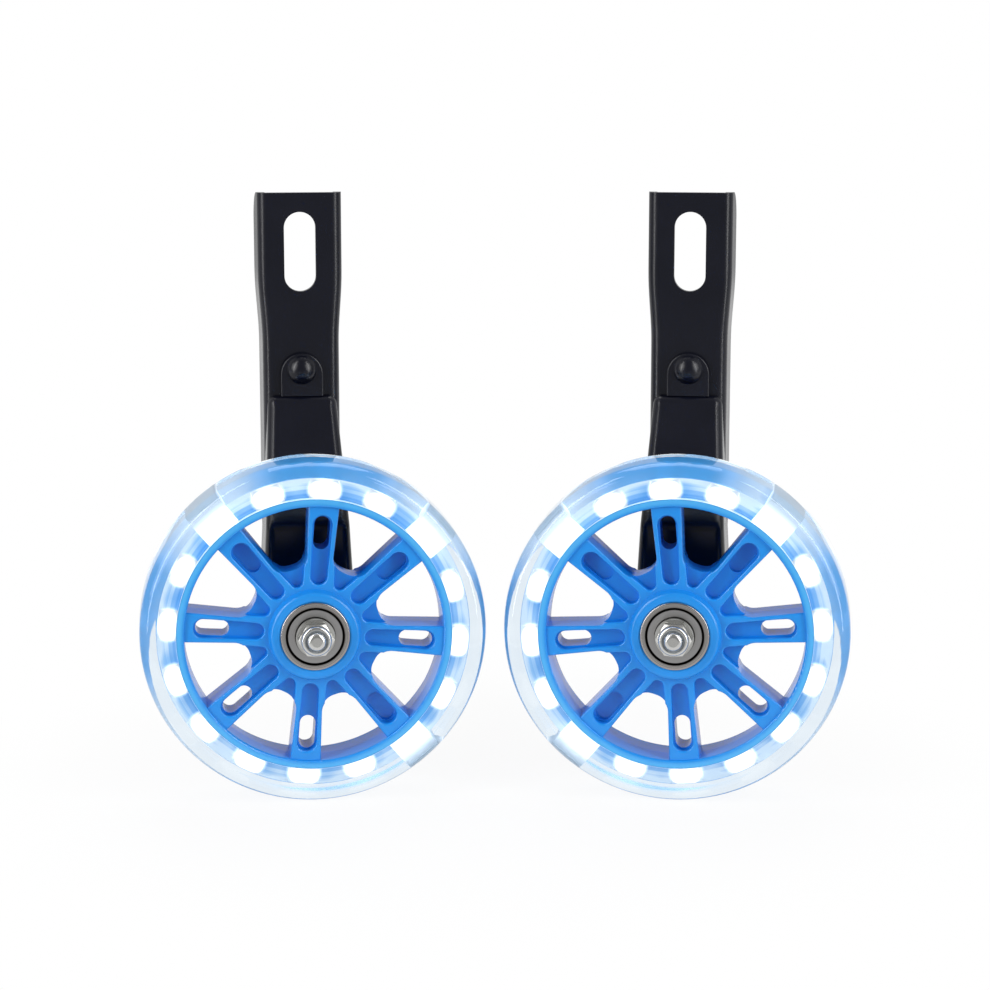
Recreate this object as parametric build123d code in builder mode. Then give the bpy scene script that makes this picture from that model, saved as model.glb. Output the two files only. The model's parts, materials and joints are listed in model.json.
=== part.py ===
from build123d import *
import os
from math import atan2, cos, radians, sin, tan

# A pair of training wheels for a child's bicycle. Each unit is a pressed steel bracket that carries
# a free wheel with lamps in its clear tyre. One unit is modelled with its axle along Y through the
# origin, the wheel's middle plane at Y = 0, its outer side towards -Y and the bicycle towards +Y.
# It is then placed twice, left and right.

# Tyre, rim and lamps
TYRE_DIAMETER = 110.0
TYRE_THICKNESS = 11.3
TYRE_WIDTH = 24.0
TYRE_SHOULDER = 5.0
TYRE_LIP = 1.0
RIM_SETBACK = 0.2
RIM_WALL = 2.6
RIM_BACK_WALL = 0.9
RIM_EDGE = 0.6
DRAFT = 1.8
STRIP_WIDTH = 12.0
STRIP_THICKNESS = 0.2
LAMP_PLACES = 16
LAMP_LENGTH = 9.5
LAMP_WIDTH = 17.0
LAMP_HEIGHT = 5.4
LAMP_ROUND = 2.0
BLOCK_LENGTH = 12.0
BLOCK_WIDTH = 19.0
BLOCK_HEIGHT = 9.2
BLOCK_ROUND = 0.8
CORE_DIAMETER = 4.0
CARRIER_HEIGHT = 6.0
CARRIER_WIDTH = 12.0

# Spokes and hub
SPOKE_COUNT = 8
CLOSED_SPOKES = (-90.0, 0.0, 90.0)
SPOKE_SETBACK = 0.9
SPOKE_THICKNESS = 15.0
SPOKE_RIM_WIDTH = 10.3
SPOKE_HUB_WIDTH = 8.4
WINDOW_BOTTOM = 21.5
WINDOW_CORNER = 5.2
RECESS_DEPTH = 2.8
RECESS_START = 16.0
RECESS_WALL = 2.8
RECESS_HUB_WIDTH = 5.2
RECESS_RIM_WIDTH = 6.2
RIB_EDGE = 0.57
SPOKE_SLOT_LENGTH = 10.7
SPOKE_SLOT_WIDTH = 5.0
POCKET_DEPTH = 1.6
DIMPLE_ROUND = 1.9
DIMPLE_REACH = 3.2
DIMPLE_INSET = 0.6
HUB_LENGTH = 28.0
HUB_BORE = 19.4
BOSS_FACE_DIAMETER = 27.8
BOSS_ROOT_DIAMETER = 29.4
BOSS_EDGE = 1.2
BORE_LEAD = 0.5

# Bearings, 8 x 22 x 7
BEARING_DIAMETER = 22.0
BEARING_BORE = 8.0
BEARING_WIDTH = 7.0
BALL_COUNT = 7
BALL_DIAMETER = 3.969
BALL_PITCH = 15.0
INNER_SHOULDER = 12.1
OUTER_SHOULDER = 17.5
SHIELD_SEAT = 18.3
SHIELD_BORE = 12.7
SHIELD_CROWN = 17.2
SHIELD_STEP = 0.9
SHIELD_THICKNESS = 0.4
SHIELD_SETBACK = 0.15
CAGE_THICKNESS = 1.2
CAGE_WIDTH = 4.4
RING_EDGE = 0.45

# Axle
BOLT_DIAMETER = 6.0
BOLT_END = 1.3
BOLT_END_ROUND = 1.5
HEX_FLATS = 10.0
HEX_SIDES = 6
HEX_CHAMFER = 30.0
HEAD_HEIGHT = 4.0
NUT_HEIGHT = 3.8
COLLAR_HEIGHT = 1.6
COLLAR_DIAMETER = 9.4
COLLAR_LIP_BORE = 7.3
COLLAR_ROUND = 0.8
INSERT_DIAMETER = 8.2
INSERT_HEIGHT = 1.0
WASHER_DIAMETER = 12.4
WASHER_THICKNESS = 1.6
SPACER_DIAMETER = 10.0
SPACER_LENGTH = 3.0
TUBE_DIAMETER = 11.0
MAGNET_DIAMETER = 17.4
MAGNET_LENGTH = 11.0

# Bracket, with heights from the axle and depths from the wheel's middle plane
SHEET = 2.5
CHANNEL_DEPTH = 45.0
CHANNEL_TOP = 135.8
CHANNEL_BOTTOM = 16.5
CHANNEL_WIDTH = 25.0
CHANNEL_TOP_WIDTH = 27.4
FLARE_START = 89.5
FLARE_END = 106.0
FLARE_BLEND = 120.0
FLANGE_REACH = 14.0
FLANGE_SPLAY = 3.5
FLANGE_CORNER = 9.0
CHANNEL_BEND = 3.4
CHANNEL_CORNER = 9.0
SLOT_WIDTH = 10.4
SLOT_LENGTH = 26.2
SLOT_MARGIN = 6.3
RIVET_RISE = 8.7
RIVET_HEAD = 9.6
RIVET_DOME = 3.0
RIVET_SHANK = 5.0
RIVET_TAIL = 7.5
RIVET_TAIL_HEIGHT = 1.5
TAB_WIDTH = 14.0
TAB_EDGE = 0.5
TAB_MARGIN = 5.5
SHOULDER_HEIGHT = 68.8
SHOULDER_WIDTH = 22.6
SHOULDER_CORNER = 3.0
ELBOW_HEIGHT = 29.8
ELBOW_WIDTH = 27.2
ELBOW_BEND = 6.0
FOOT_WIDTH = 30.4
FOOT_REACH = 9.0
HEEL_HEIGHT = 4.0
HEEL_ROUND = 6.0
ARM_EDGE = 3.0

# Clearances
BOND_GAP = 0.02
PRESS_GAP = 0.02
BOLT_GAP = 0.1
BALL_GAP = 0.05
POCKET_GAP = 0.08
LAMP_GAP = 0.05

# How the two units stand
WHEEL_GAP = 6.8
TURN_IN = 7.5
WHEEL_TURN = 49.8

# Values worked out from the sizes above
WHEEL_SPACING = TYRE_DIAMETER + WHEEL_GAP
RIM_RADIUS = TYRE_DIAMETER / 2 - TYRE_THICKNESS
HALF_RIM = TYRE_WIDTH / 2 - RIM_SETBACK
HALF_SPOKE = SPOKE_THICKNESS / 2
HALF_HUB = HUB_LENGTH / 2
SPOKE_FRONT = SPOKE_SETBACK - HALF_RIM
SPOKE_MIDDLE = SPOKE_FRONT + HALF_SPOKE
SPOKE_BACK = SPOKE_FRONT + SPOKE_THICKNESS
DRAFT_RISE = tan(radians(DRAFT))
RIM_FACE_RADIUS = RIM_RADIUS - RIM_WALL
RIM_SPOKE_RADIUS = RIM_FACE_RADIUS - SPOKE_SETBACK * DRAFT_RISE
RIM_BACK_RADIUS = RIM_RADIUS - RIM_BACK_WALL
RIM_MIDDLE_RADIUS = RIM_SPOKE_RADIUS - HALF_SPOKE * DRAFT_RISE
RECESS_END = RIM_SPOKE_RADIUS - RECESS_WALL
STRIP_SEAT = RIM_RADIUS - STRIP_THICKNESS - BOND_GAP
LAMP_SEAT = STRIP_SEAT + STRIP_THICKNESS + 2 * BOND_GAP
CARRIER_RADIUS = RIM_RADIUS + CARRIER_HEIGHT
HALF_CARRIER = CARRIER_WIDTH / 2
SPOKE_ANGLES = [360 / SPOKE_COUNT * step - 180 for step in range(SPOKE_COUNT)]
OPEN_SPOKES = [turn for turn in SPOKE_ANGLES if turn not in CLOSED_SPOKES]
LAMP_ANGLES = [360 / LAMP_PLACES * step - 180 for step in range(LAMP_PLACES)]
LAMP_ANGLES = [turn for turn in LAMP_ANGLES if turn not in CLOSED_SPOKES]
BEARING_OFFSET = HALF_HUB - BEARING_WIDTH / 2
SHIELD_FACE = BEARING_WIDTH / 2 - SHIELD_SETBACK
SHIELD_FLOOR = SHIELD_FACE - SHIELD_STEP - SHIELD_THICKNESS
NUT_FACE = HALF_HUB + WASHER_THICKNESS
ARM_DEPTH = HALF_HUB + SPACER_LENGTH
SLOT_HEIGHT = CHANNEL_TOP - SLOT_MARGIN - SLOT_LENGTH / 2
RIVET_HEIGHT = SHOULDER_HEIGHT + RIVET_RISE
TAB_DEPTH = CHANNEL_DEPTH - SHEET
FOOT_BOTTOM = -FOOT_WIDTH / 2
ARM_LEAN = atan2(TAB_DEPTH - ARM_DEPTH, SHOULDER_HEIGHT - ELBOW_HEIGHT)
INNER_DROP = SHEET * tan(ARM_LEAN / 2)

# How far a cut runs past the work, and how edges and faces are told apart when they are picked
PAST = 30.0
NEAR = 0.01
FACING = 0.3


def about_axle(turns, radius=0.0, depth=0.0):
    """Places at a radius from the axle and a depth along it, each turned about it from straight up."""
    places = []
    for turn in turns:
        angle = radians(turn)
        places.append(Location((radius * sin(angle), depth, radius * cos(angle)), (0, turn, 0)))
    return places


def from_axle(edge):
    """Distance of an edge's middle from the axle."""
    middle = edge.position_at(0.5)
    return (middle.X**2 + middle.Z**2) ** 0.5


def back_plane(depth):
    """Plane across the axle, facing the bicycle, with its own Y upwards."""
    return Plane((0, depth, 0), x_dir=(-1, 0, 0), z_dir=(0, 1, 0))


# Wheel hub: one window between two spokes, with its middle straight up
half_pitch = 180 / SPOKE_COUNT
lean = radians(half_pitch)
foot_along = (WINDOW_BOTTOM - SPOKE_HUB_WIDTH / 2 * sin(lean)) / cos(lean)
window_foot = Vector(-SPOKE_HUB_WIDTH / 2, foot_along).rotate(Axis.Z, -half_pitch)
window_head = Vector(-SPOKE_RIM_WIDTH / 2, RIM_RADIUS).rotate(Axis.Z, -half_pitch)
with BuildSketch() as window:
    with BuildLine():
        Polyline(
            (window_foot.X, window_foot.Y),
            (window_head.X, window_head.Y),
            (-window_head.X, window_head.Y),
            (-window_foot.X, window_foot.Y),
            close=True,
        )
    make_face()
    fillet(window.vertices().group_by(Axis.Y)[0], WINDOW_CORNER)

# Wheel hub: the recess along a spoke, the slot at its outer end and the dimple between two spokes
with BuildSketch() as recess:
    with Locations((0, RECESS_START + RECESS_HUB_WIDTH / 2)):
        Circle(RECESS_HUB_WIDTH / 2)
    with Locations((0, RECESS_END - RECESS_RIM_WIDTH / 2)):
        Circle(RECESS_RIM_WIDTH / 2)
    make_hull()
with BuildSketch() as spoke_slot:
    slot_end = RECESS_END - (RECESS_RIM_WIDTH - SPOKE_SLOT_WIDTH) / 2
    with Locations((0, slot_end - SPOKE_SLOT_LENGTH / 2)):
        SlotOverall(SPOKE_SLOT_LENGTH, SPOKE_SLOT_WIDTH, rotation=90)
with BuildSketch() as dimple:
    with Locations((0, RECESS_START + DIMPLE_ROUND)):
        Circle(DIMPLE_ROUND)
    dimple_end = WINDOW_BOTTOM + DIMPLE_REACH
    with Locations((0, dimple_end)):
        Circle(dimple_end * sin(lean) - SPOKE_HUB_WIDTH / 2 - DIMPLE_INSET)
    make_hull()

# Wheel hub: the windows, which end at the rim's inner wall and taper both ways from the spokes' middle
with BuildPart() as windows:
    for face in (-1, 1):
        with BuildSketch(Plane.XZ.offset(-SPOKE_MIDDLE)):
            for turn in SPOKE_ANGLES:
                add(window.sketch, rotation=turn + half_pitch)
        extrude(amount=face * HALF_SPOKE, taper=-DRAFT)
    with BuildSketch():
        with BuildLine():
            Polyline(
                (0, SPOKE_FRONT),
                (RIM_SPOKE_RADIUS, SPOKE_FRONT),
                (RIM_MIDDLE_RADIUS, SPOKE_MIDDLE),
                (RIM_SPOKE_RADIUS, SPOKE_BACK),
                (0, SPOKE_BACK),
                close=True,
            )
        make_face()
    revolve(axis=Axis.Y, mode=Mode.INTERSECT)

seat_radius = BEARING_DIAMETER / 2 + PRESS_GAP
half_groove = STRIP_WIDTH / 2 + LAMP_GAP
with BuildPart() as wheel_hub:
    with BuildSketch() as hub_section:
        with BuildLine():
            Polyline(
                (HUB_BORE / 2, BEARING_WIDTH - HALF_HUB),
                (seat_radius, BEARING_WIDTH - HALF_HUB),
                (seat_radius, BORE_LEAD - HALF_HUB),
                (seat_radius + BORE_LEAD, -HALF_HUB),
                (BOSS_FACE_DIAMETER / 2, -HALF_HUB),
                (BOSS_ROOT_DIAMETER / 2, SPOKE_FRONT),
                (RIM_SPOKE_RADIUS, SPOKE_FRONT),
                (RIM_FACE_RADIUS, -HALF_RIM),
                (RIM_RADIUS, -HALF_RIM),
                (RIM_RADIUS, -half_groove),
                (STRIP_SEAT, -half_groove),
                (STRIP_SEAT, half_groove),
                (RIM_RADIUS, half_groove),
                (RIM_RADIUS, HALF_RIM),
                (RIM_BACK_RADIUS, HALF_RIM),
                (RIM_BACK_RADIUS, SPOKE_BACK),
                (BOSS_ROOT_DIAMETER / 2, SPOKE_BACK),
                (BOSS_FACE_DIAMETER / 2, HALF_HUB),
                (seat_radius + BORE_LEAD, HALF_HUB),
                (seat_radius, HALF_HUB - BORE_LEAD),
                (seat_radius, HALF_HUB - BEARING_WIDTH),
                (HUB_BORE / 2, HALF_HUB - BEARING_WIDTH),
                close=True,
            )
        make_face()
        boss_rim = hub_section.vertices().filter_by(lambda v: abs(v.X - BOSS_FACE_DIAMETER / 2) < NEAR)
        fillet(boss_rim, BOSS_EDGE)
        rim_rim = hub_section.vertices().filter_by(lambda v: abs(v.X - RIM_FACE_RADIUS) < NEAR)
        fillet(rim_rim, RIM_EDGE)
    revolve(axis=Axis.Y)
    add(windows.part, mode=Mode.SUBTRACT)
    for face in (-1, 1):
        with BuildSketch(Plane.XZ.offset(face * HALF_SPOKE - SPOKE_MIDDLE)):
            for turn in SPOKE_ANGLES:
                add(recess.sketch, rotation=turn)
                add(dimple.sketch, rotation=turn + half_pitch)
        extrude(amount=-face * RECESS_DEPTH, mode=Mode.SUBTRACT)
        with BuildSketch(Plane.XZ.offset(face * HALF_SPOKE - SPOKE_MIDDLE)):
            for turn in CLOSED_SPOKES:
                add(spoke_slot.sketch, rotation=turn)
        extrude(amount=-face * (RECESS_DEPTH + POCKET_DEPTH), mode=Mode.SUBTRACT)
    with BuildSketch(Plane.XZ.offset(-SPOKE_MIDDLE)):
        for turn in OPEN_SPOKES:
            add(spoke_slot.sketch, rotation=turn)
    extrude(amount=HALF_SPOKE, both=True, mode=Mode.SUBTRACT)
    with Locations(*about_axle(CLOSED_SPOKES, 0, SPOKE_MIDDLE)):
        Cylinder(
            CORE_DIAMETER / 2 + PRESS_GAP,
            RIM_RADIUS,
            align=(Align.CENTER, Align.CENTER, Align.MIN),
            mode=Mode.SUBTRACT,
        )
    for depth, reach in ((SPOKE_FRONT, RIM_SPOKE_RADIUS), (SPOKE_BACK, RIM_BACK_RADIUS)):
        spoke_face = wheel_hub.faces().filter_by(Axis.Y).filter_by(lambda f: abs(f.center().Y - depth) < NEAR)
        borders = spoke_face.edges().filter_by(lambda e: from_axle(e) > BOSS_ROOT_DIAMETER / 2 + NEAR)
        fillet(borders.filter_by(lambda e: from_axle(e) < reach - NEAR), RIB_EDGE)

# Room for the lamps and blocks, cut out of the carrier and the tyre
with BuildPart() as light_pockets:
    with Locations(*about_axle(LAMP_ANGLES, STRIP_SEAT)):
        Box(
            LAMP_LENGTH + 2 * LAMP_GAP,
            LAMP_WIDTH + 2 * LAMP_GAP,
            LAMP_SEAT - STRIP_SEAT + LAMP_HEIGHT + LAMP_GAP,
            align=(Align.CENTER, Align.CENTER, Align.MIN),
        )
    with Locations(*about_axle(CLOSED_SPOKES, STRIP_SEAT)):
        Box(
            BLOCK_LENGTH + 2 * LAMP_GAP,
            BLOCK_WIDTH + 2 * LAMP_GAP,
            LAMP_SEAT - STRIP_SEAT + BLOCK_HEIGHT + LAMP_GAP,
            align=(Align.CENTER, Align.CENTER, Align.MIN),
        )

# Lamp carrier: blue arcs round the rim, between the blocks and over the lamps
with BuildPart() as lamp_carrier:
    with BuildSketch(Plane.XZ):
        Circle(CARRIER_RADIUS)
        Circle(RIM_RADIUS + BOND_GAP, mode=Mode.SUBTRACT)
    extrude(amount=HALF_CARRIER, both=True)
    add(light_pockets.part, mode=Mode.SUBTRACT)

# Clear tyre, cast round the carrier, the lamps and the blocks
with BuildPart() as tyre:
    with BuildSketch() as tyre_section:
        with BuildLine():
            Polyline(
                (CARRIER_RADIUS + LAMP_GAP, 0),
                (CARRIER_RADIUS + LAMP_GAP, HALF_CARRIER + LAMP_GAP),
                (RIM_RADIUS + BOND_GAP, HALF_CARRIER + LAMP_GAP),
                (RIM_RADIUS + BOND_GAP, HALF_RIM),
                (RIM_RADIUS + TYRE_LIP, TYRE_WIDTH / 2),
                (TYRE_DIAMETER / 2, TYRE_WIDTH / 2),
                (TYRE_DIAMETER / 2, 0),
                close=True,
            )
        make_face()
        mirror(about=Plane.XZ)
        shoulders = tyre_section.vertices().filter_by(lambda v: abs(v.X - TYRE_DIAMETER / 2) < NEAR)
        fillet(shoulders, TYRE_SHOULDER)
    revolve(axis=Axis.Y)
    add(light_pockets.part, mode=Mode.SUBTRACT)

# Flexible circuit strip in the rim's groove
with BuildPart() as lamp_strip:
    with BuildSketch(Plane.XZ):
        Circle(STRIP_SEAT + BOND_GAP + STRIP_THICKNESS)
        Circle(STRIP_SEAT + BOND_GAP, mode=Mode.SUBTRACT)
    extrude(amount=STRIP_WIDTH / 2, both=True)

# Lamps, seated on the strip
with BuildPart() as lamps:
    with Locations(*about_axle(LAMP_ANGLES, STRIP_SEAT)):
        Box(
            LAMP_LENGTH,
            LAMP_WIDTH,
            LAMP_SEAT - STRIP_SEAT + LAMP_HEIGHT,
            align=(Align.CENTER, Align.CENTER, Align.MIN),
        )
    lamp_tops = lamps.edges().filter_by(Axis.Y)
    lamp_tops = lamp_tops.filter_by(lambda e: e.center().length > LAMP_SEAT + LAMP_HEIGHT / 2)
    fillet(lamp_tops, LAMP_ROUND)
    with Locations(Rotation(90, 0, 0)):
        Cylinder(LAMP_SEAT, TYRE_WIDTH, mode=Mode.SUBTRACT)

# Coil blocks, seated over the ends of the core pins
with BuildPart() as coil_blocks:
    with Locations(*about_axle(CLOSED_SPOKES, STRIP_SEAT)):
        Box(
            BLOCK_LENGTH,
            BLOCK_WIDTH,
            LAMP_SEAT - STRIP_SEAT + BLOCK_HEIGHT,
            align=(Align.CENTER, Align.CENTER, Align.MIN),
        )
    block_tops = coil_blocks.edges().filter_by(Axis.Y)
    block_tops = block_tops.filter_by(lambda e: e.center().length > LAMP_SEAT + BLOCK_HEIGHT / 2)
    fillet(block_tops, BLOCK_ROUND)
    with Locations(Rotation(90, 0, 0)):
        Cylinder(LAMP_SEAT, TYRE_WIDTH, mode=Mode.SUBTRACT)

# Soft iron pins that lead the magnet's field along the closed spokes
with BuildPart() as core_pins:
    with Locations(*about_axle(CLOSED_SPOKES, HUB_BORE / 2, SPOKE_MIDDLE)):
        Cylinder(
            CORE_DIAMETER / 2,
            STRIP_SEAT - HUB_BORE / 2 - BOND_GAP,
            align=(Align.CENTER, Align.CENTER, Align.MIN),
        )

# Bearing rings, each turned about the axle with its half of the ball groove
race_radius = BALL_DIAMETER / 2 + BALL_GAP
ball_turns = [360 / BALL_COUNT * step for step in range(BALL_COUNT)]
with BuildPart() as outer_ring:
    with BuildSketch() as outer_section:
        with BuildLine():
            Polyline(
                (OUTER_SHOULDER / 2, 0),
                (OUTER_SHOULDER / 2, SHIELD_FLOOR),
                (SHIELD_SEAT / 2, SHIELD_FLOOR),
                (SHIELD_SEAT / 2, BEARING_WIDTH / 2),
                (BEARING_DIAMETER / 2, BEARING_WIDTH / 2),
                (BEARING_DIAMETER / 2, 0),
                close=True,
            )
        make_face()
        mirror(about=Plane.XZ)
        outer_corners = outer_section.vertices().filter_by(lambda v: abs(v.X - BEARING_DIAMETER / 2) < NEAR)
        fillet(outer_corners, RING_EDGE)
        with Locations((BALL_PITCH / 2, 0)):
            Circle(race_radius, mode=Mode.SUBTRACT)
    revolve(axis=Axis.Y)

with BuildPart() as inner_ring:
    with BuildSketch() as inner_section:
        with Locations((BEARING_BORE / 2, 0)):
            Rectangle(
                (INNER_SHOULDER - BEARING_BORE) / 2,
                BEARING_WIDTH,
                align=(Align.MIN, Align.CENTER),
            )
        fillet(inner_section.vertices().group_by(Axis.X)[0], RING_EDGE)
        with Locations((BALL_PITCH / 2, 0)):
            Circle(race_radius, mode=Mode.SUBTRACT)
    revolve(axis=Axis.Y)

with BuildPart() as balls:
    with Locations(*about_axle(ball_turns, BALL_PITCH / 2)):
        Sphere(BALL_DIAMETER / 2)

with BuildPart() as cage:
    with BuildSketch(Plane.XZ):
        Circle((BALL_PITCH + CAGE_THICKNESS) / 2)
        Circle((BALL_PITCH - CAGE_THICKNESS) / 2, mode=Mode.SUBTRACT)
    extrude(amount=CAGE_WIDTH / 2, both=True)
    with Locations(*about_axle(ball_turns, BALL_PITCH / 2)):
        Sphere(BALL_DIAMETER / 2 + POCKET_GAP, mode=Mode.SUBTRACT)

# Pressed shields: a raised crown round the bore, stepped down to the rim that seats in the outer ring
with BuildPart() as shields:
    with BuildSketch():
        with BuildLine():
            Polyline(
                (SHIELD_BORE / 2, SHIELD_FACE),
                (SHIELD_CROWN / 2, SHIELD_FACE),
                (SHIELD_CROWN / 2, SHIELD_FACE - SHIELD_STEP),
                (SHIELD_SEAT / 2 - PRESS_GAP, SHIELD_FACE - SHIELD_STEP),
                (SHIELD_SEAT / 2 - PRESS_GAP, SHIELD_FLOOR + PRESS_GAP),
                (SHIELD_CROWN / 2 - SHIELD_THICKNESS, SHIELD_FLOOR + PRESS_GAP),
                (SHIELD_CROWN / 2 - SHIELD_THICKNESS, SHIELD_FACE - SHIELD_THICKNESS),
                (SHIELD_BORE / 2, SHIELD_FACE - SHIELD_THICKNESS),
                close=True,
            )
        make_face()
        mirror(about=Plane.XZ)
    revolve(axis=Axis.Y)


# Tubes on the axle
def turned_tube(outside, inside, start, end):
    """A plain tube along the axle between two depths."""
    with BuildPart() as tube:
        with BuildSketch(back_plane(start)):
            Circle(outside / 2)
            Circle(inside / 2, mode=Mode.SUBTRACT)
        extrude(amount=end - start)
    return tube


bolt_hole = BOLT_DIAMETER + 2 * BOLT_GAP
tube_half = HALF_HUB - BEARING_WIDTH
magnet_half = MAGNET_LENGTH / 2
axle_sleeve = turned_tube(BEARING_BORE - 2 * PRESS_GAP, bolt_hole, -HALF_HUB, HALF_HUB)
bearing_spacer = turned_tube(TUBE_DIAMETER, BEARING_BORE + 2 * PRESS_GAP, -tube_half, tube_half)
magnet_ring = turned_tube(MAGNET_DIAMETER, TUBE_DIAMETER + 2 * PRESS_GAP, -magnet_half, magnet_half)
arm_spacer = turned_tube(SPACER_DIAMETER, bolt_hole, HALF_HUB, ARM_DEPTH)
nut_washer = turned_tube(WASHER_DIAMETER, bolt_hole, -NUT_FACE, -HALF_HUB)


# Hexagon with the corners turned off at both ends or at the outer end only
def turned_hexagon(start, end, inner_chamfer):
    """A hexagon prism along the axle, its corners chamfered by turning."""
    corner = HEX_FLATS / 2 / cos(radians(180 / HEX_SIDES))
    rise = (corner - HEX_FLATS / 2) * tan(radians(HEX_CHAMFER))
    inward = 1 if end > start else -1
    with BuildPart() as hexagon:
        with BuildSketch(Plane.XZ.offset(-start)):
            RegularPolygon(HEX_FLATS / 2, HEX_SIDES, major_radius=False)
        extrude(amount=start - end)
        with BuildSketch():
            with BuildLine():
                Polyline(
                    (0, start),
                    (HEX_FLATS / 2 if inner_chamfer else corner, start),
                    (corner, start + inward * rise if inner_chamfer else start + inward * rise / 2),
                    (corner, end - inward * rise),
                    (HEX_FLATS / 2, end),
                    (0, end),
                    close=True,
                )
            make_face()
        revolve(axis=Axis.Y, mode=Mode.INTERSECT)
    return hexagon


head_blank = turned_hexagon(ARM_DEPTH + SHEET, ARM_DEPTH + SHEET + HEAD_HEIGHT, False)
nut_blank = turned_hexagon(-NUT_FACE, -NUT_FACE - NUT_HEIGHT, True)
collar_foot = NUT_FACE + NUT_HEIGHT
collar_top = collar_foot + COLLAR_HEIGHT
insert_bore = BOLT_DIAMETER + 2 * PRESS_GAP

with BuildPart() as axle_bolt:
    add(head_blank.part)
    with BuildSketch(Plane.XZ.offset(-ARM_DEPTH - SHEET)):
        Circle(BOLT_DIAMETER / 2)
    extrude(amount=ARM_DEPTH + SHEET + collar_top + BOLT_END)
    fillet(axle_bolt.edges().sort_by(Axis.Y)[0], BOLT_END_ROUND)

# Lock nut: a hexagon with a collar rolled over a nylon ring
with BuildPart() as axle_nut:
    add(nut_blank.part)
    with BuildSketch(Plane.XZ.offset(collar_foot)):
        Circle(COLLAR_DIAMETER / 2)
    extrude(amount=COLLAR_HEIGHT)
    fillet(axle_nut.edges().sort_by(Axis.Y)[0], COLLAR_ROUND)
    with BuildSketch(Plane.XZ):
        Circle(insert_bore / 2)
    extrude(amount=collar_foot, mode=Mode.SUBTRACT)
    with BuildSketch(Plane.XZ.offset(collar_foot)):
        Circle(INSERT_DIAMETER / 2)
    extrude(amount=INSERT_HEIGHT, mode=Mode.SUBTRACT)
    with BuildSketch(Plane.XZ.offset(collar_foot)):
        Circle(COLLAR_LIP_BORE / 2)
    extrude(amount=COLLAR_HEIGHT, mode=Mode.SUBTRACT)
insert_outside = INSERT_DIAMETER - 2 * PRESS_GAP
nut_insert = turned_tube(insert_outside, insert_bore, -collar_foot - INSERT_HEIGHT, -collar_foot)

# Mounting channel: its outline runs past both ends, which are trimmed after the flanges are splayed
low_half = CHANNEL_WIDTH / 2
top_half = CHANNEL_TOP_WIDTH / 2
with BuildSketch() as channel_outline:
    with BuildLine():
        Polyline(
            (low_half, CHANNEL_BOTTOM - PAST),
            (low_half, FLARE_START),
            (top_half, FLARE_END),
            (top_half, CHANNEL_TOP + PAST),
            (-top_half, CHANNEL_TOP + PAST),
            (-top_half, FLARE_END),
            (-low_half, FLARE_START),
            (-low_half, CHANNEL_BOTTOM - PAST),
            close=True,
        )
    make_face()
    flare = channel_outline.vertices().filter_by(lambda v: CHANNEL_BOTTOM < v.Y < CHANNEL_TOP)
    fillet(flare, FLARE_BLEND)
trim_half = top_half + FLANGE_REACH * tan(radians(FLANGE_SPLAY))
with BuildSketch() as channel_trim:
    with BuildLine():
        Polyline(
            (-trim_half, CHANNEL_BOTTOM),
            (trim_half, CHANNEL_BOTTOM),
            (trim_half, CHANNEL_TOP),
            (-trim_half, CHANNEL_TOP),
            close=True,
        )
    make_face()
    fillet(channel_trim.vertices().group_by(Axis.Y)[0], CHANNEL_CORNER)

with BuildPart() as mounting_channel:
    with BuildSketch(back_plane(CHANNEL_DEPTH)):
        add(channel_outline.sketch)
    extrude(amount=FLANGE_REACH, taper=-FLANGE_SPLAY)
    bends = mounting_channel.edges().group_by(Axis.Y)[0]
    bends = bends.filter_by(lambda e: abs(e.center().X) > low_half / 2)
    fillet(bends, CHANNEL_BEND)
    with BuildSketch(back_plane(CHANNEL_DEPTH + SHEET)):
        add(channel_outline.sketch)
        offset(amount=-SHEET, kind=Kind.INTERSECTION)
    extrude(amount=FLANGE_REACH - SHEET, taper=-FLANGE_SPLAY, mode=Mode.SUBTRACT)
    with BuildSketch(back_plane(CHANNEL_DEPTH)):
        add(channel_trim.sketch)
    extrude(amount=FLANGE_REACH, mode=Mode.INTERSECT)
    with BuildSketch(Plane.YZ) as flange_side:
        with Locations((CHANNEL_DEPTH, CHANNEL_BOTTOM)):
            Rectangle(FLANGE_REACH, CHANNEL_TOP - CHANNEL_BOTTOM, align=(Align.MIN, Align.MIN))
        fillet(flange_side.vertices().group_by(Axis.X)[-1], FLANGE_CORNER)
    extrude(amount=trim_half, both=True, mode=Mode.INTERSECT)
    with BuildSketch(back_plane(CHANNEL_DEPTH)):
        with Locations((0, SLOT_HEIGHT)):
            SlotOverall(SLOT_LENGTH, SLOT_WIDTH, rotation=90)
        with Locations((0, RIVET_HEIGHT)):
            Circle(RIVET_SHANK / 2 + PRESS_GAP)
    extrude(amount=SHEET, mode=Mode.SUBTRACT)

# Wheel arm: the pressed form is where its side view and front view meet, hollowed from behind
with BuildSketch() as arm_side:
    with BuildLine():
        Polyline(
            (TAB_DEPTH, SHOULDER_HEIGHT),
            (ARM_DEPTH, ELBOW_HEIGHT),
            (ARM_DEPTH, FOOT_BOTTOM),
            (ARM_DEPTH + FOOT_REACH, FOOT_BOTTOM),
            (ARM_DEPTH + FOOT_REACH, HEEL_HEIGHT),
            (CHANNEL_DEPTH, CHANNEL_BOTTOM),
            (CHANNEL_DEPTH, SHOULDER_HEIGHT),
            close=True,
        )
    make_face()
    elbow = arm_side.vertices().filter_by(lambda v: abs(v.Y - ELBOW_HEIGHT) < NEAR)
    fillet(elbow, ELBOW_BEND)
    heel = arm_side.vertices().filter_by(lambda v: abs(v.Y - HEEL_HEIGHT) < NEAR)
    fillet(heel, HEEL_ROUND)
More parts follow.
